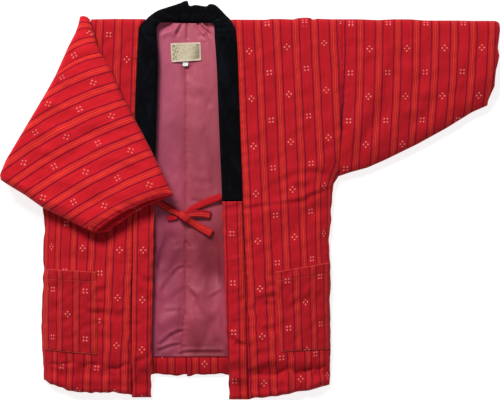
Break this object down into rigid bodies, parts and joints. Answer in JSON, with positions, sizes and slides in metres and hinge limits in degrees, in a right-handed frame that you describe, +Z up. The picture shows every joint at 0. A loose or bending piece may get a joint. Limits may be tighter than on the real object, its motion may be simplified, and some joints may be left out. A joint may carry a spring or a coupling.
{
  "type": "hanten",
  "caption": "Padded hanten jacket in red striped cotton with a black velvet collar, laid flat with its right sleeve folded over the front.",
  "frame": {"origin": "middle of the laid-out garment, on the surface that it lies on", "axes": "+X towards the tip of the spread left sleeve, +Y towards the shoulders, +Z up"},
  "size_m": [1.0592, 0.8476, 0.0829],
  "materials": {
    "striped_cotton": "matte woven cotton, red with dark and orange warp stripes and small pale dot motifs",
    "black_velvet": "black cotton velvet",
    "rose_lining": "satin lining",
    "cream_label": "woven label, no lettering",
    "white_tag": "plain tape"
  },
  "bodies": {
    "root": {"body_left": "striped_cotton", "body_right": "striped_cotton", "body_right_fold": "striped_cotton", "sleeve_left": "striped_cotton", "sleeve_right": "striped_cotton", "collar_velvet": "black_velvet", "collar_end_left": "striped_cotton", "collar_end_right": "striped_cotton", "pocket_left": "striped_cotton", "pocket_right": "striped_cotton", "lining_left": "rose_lining", "lining_right": "rose_lining", "label": "cream_label", "size_tag": "white_tag", "tie_left": "striped_cotton", "tie_right": "striped_cotton", "tie_right_end": "striped_cotton"}
  },
  "joints": []
}
